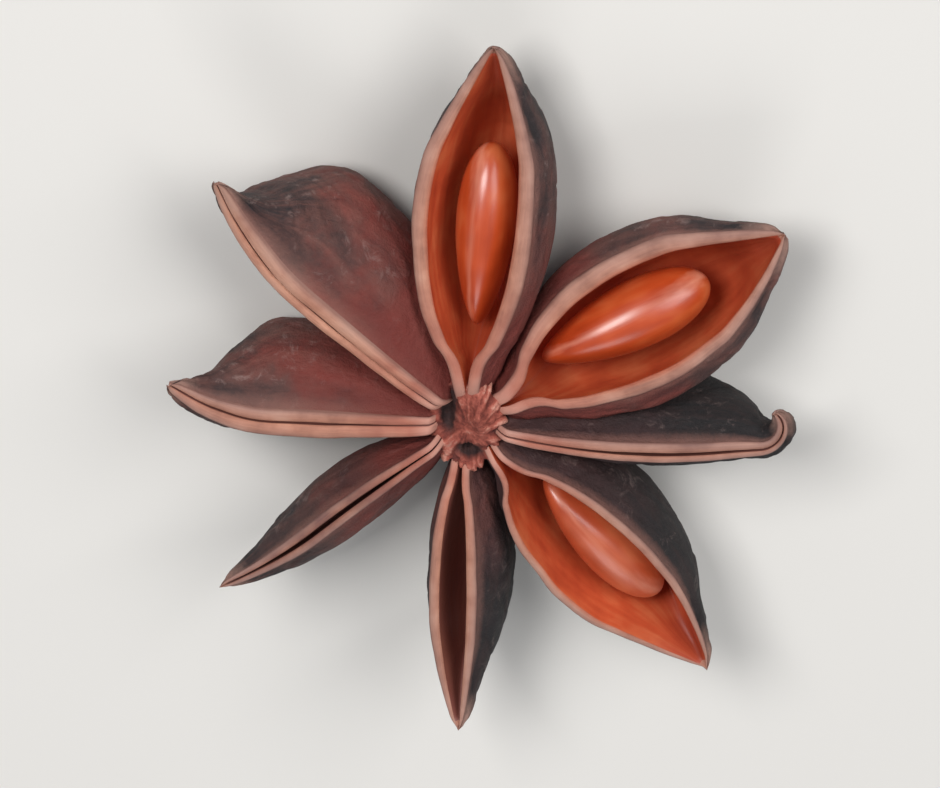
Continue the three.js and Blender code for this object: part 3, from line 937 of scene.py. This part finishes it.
heart = grow("heart", heart_tree(), HEART)
heart.data.transform(Matrix.Translation(centring))
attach(heart, "root")
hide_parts("pod")
print("heart:", len(heart.data.polygons), "faces")

# %% [markdown]
# ## The seeds
# A star anise seed is a flattened bean with a hard, polished coat, orange brown and streaked paler
# lengthwise along its crest, where the streaks are strengthened as a painted highlight. Some
# keep more of a dull, pale bloom on the polish. A thin clear coat over the colour gives the soft
# highlight. The mark `bean` is the place of a point on the seed in its own axes, in millimetres.

# %% Seed coat
SEED_STREAKS = (9.0, 0.7, 1.2)  # mm, along, across and up the seed
SEED_PATCHES = (3.0, 1.6, 2.0)


def polished_seed_coat():
    material, tree, shader = new_material("polished_seed_coat", roughness=0.34,
                                          Coat_Weight=0.6, Coat_Roughness=0.26)
    crest_highlight, bloom = marks(tree, "crest_highlight", "bloom")
    streaks = fibres_on(tree, "bean", SEED_STREAKS, Detail=3.0)
    patches = fibres_on(tree, "bean", SEED_PATCHES, Detail=2.0)
    tint = add(tree, "ShaderNodeValToRGB", {"Fac": patches * 0.6 + streaks * 0.4}, out="Color",
               stops=[(0.3, "#97300f"), (0.5, "#b7461d"), (0.7, "#cb6435")])
    dull = add(tree, "ShaderNodeMapRange",
               {"Value": bloom + (patches - 0.5) * 0.8, "From Min": 0.2, "From Max": 0.9})
    tint = painted(tree, tint, [
        # Painted highlight: pale streaks along the crest, stronger than the coat's own streaks.
        (crest_highlight + (streaks - 0.5) * 1.4, 0.55, 1.15, 0.65, "#dc957c"),  # streaks on the crest
        (dull, 0.0, 1.0, 0.55, "#c67f5e"),  # bloom
    ])
    covered(tree, shader, tint, streaks, depth_mm=0.04, strength=0.4,
            rough=0.3 + patches * 0.12 + dull * 0.15)
    return material


seed_skin = polished_seed_coat()
print(seed_skin.name, "has", len(seed_skin.node_tree.nodes), "nodes")

# %% [markdown]
# Each seed starts as a sphere that is stretched to its length, thickness and height, in
# millimetres. The end towards the column, where it was joined to the carpel, is pinched. It lies
# in the axes of its carpel: so far `along` from the fruit's axis, `aside` to the left, and with
# its top `below` the lips. A `turn` swings it about the upright.

# %% Seed shape
SEEDS = {
    "seed_upper": dict(carpel="north", along=10.6, aside=0.4, below=0.1, turn=0,
                       length=10, thickness=3.3, height=4, bloom=0.15),
    "seed_right": dict(carpel="north_east", along=9.9, aside=0.85, below=0.05, turn=-4,
                       length=9.6, thickness=3.8, height=4.2, bloom=0.1),
    "seed_lower": dict(carpel="south_east", along=10.9, aside=0.05, below=0.45, turn=0,
                       length=9.4, thickness=3.4, height=4, bloom=0.45),
}
PINCH = 0.3  # share of its thickness that a seed loses at its pinched end
SWELL = 0.2  # share of its thickness that it gains evenly from that end to the other
# The crest band is where the pale streaks are strengthened as a painted highlight.
HIGHLIGHT_AT, HIGHLIGHT_REACH = 0.1, 0.25  # where the streaked crest is and how far it reaches
SEGMENTS, RINGS = 96, 72


def seed_tree():
    tree, size = new_tree("seed", ("length", "thickness", "height", "pinch", "bloom"))
    sphere = {"Segments": SEGMENTS, "Rings": RINGS, "Radius": 0.5}
    mesh = add(tree, "GeometryNodeMeshUVSphere", sphere, out="Mesh")
    spot = add(tree, "ShaderNodeSeparateXYZ", {0: add(tree, "GeometryNodeInputPosition")})
    x, y, z = spot["Z"] * -1, spot["X"], spot["Y"]
    # This band along the crest carries the painted highlight.
    crest_highlight = add(tree, "ShaderNodeMapRange",
                {"Value": (y - HIGHLIGHT_AT).math("ABSOLUTE"), "From Min": HIGHLIGHT_REACH, "From Max": 0.0})
    mesh = marked(tree, mesh, {"crest_highlight": crest_highlight, "bloom": size["bloom"]})
    narrowing = 1 - size["pinch"] * (0.5 - x) ** 2.0 + x * SWELL
    place = add(tree, "ShaderNodeCombineXYZ", {
        "X": x * size["length"], "Y": y * size["thickness"] * narrowing, "Z": z * size["height"],
    })
    mesh = marked(tree, mesh, {"bean": place}, "FLOAT_VECTOR")
    bean = add(tree, "GeometryNodeInputNamedAttribute", {"Name": "bean"}, data_type="FLOAT_VECTOR")
    mesh = add(tree, "GeometryNodeSetPosition", {"Geometry": mesh, "Position": bean})
    mesh = add(tree, "GeometryNodeFlipFaces", {"Mesh": mesh})
    return finished(tree, mesh, seed_skin)


seed_rule = seed_tree()
for name, s in SEEDS.items():
    piece = grow(name + "_polished", seed_rule, {**s, "pinch": PINCH})
    middle = Vector((s["along"], s["aside"], -s["below"] - s["height"] / 2)) * MM
    piece.data.transform(Matrix.Rotation(math.radians(s["turn"]), 4, "Z"))
    piece.data.transform(carpel_turn(CARPELS[s["carpel"]]) @ Matrix.Translation(middle))
    piece.data.transform(Matrix.Translation(centring + Vector((0, 0, rises[s["carpel"]]))))
    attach(piece, "root")
    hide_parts(name)
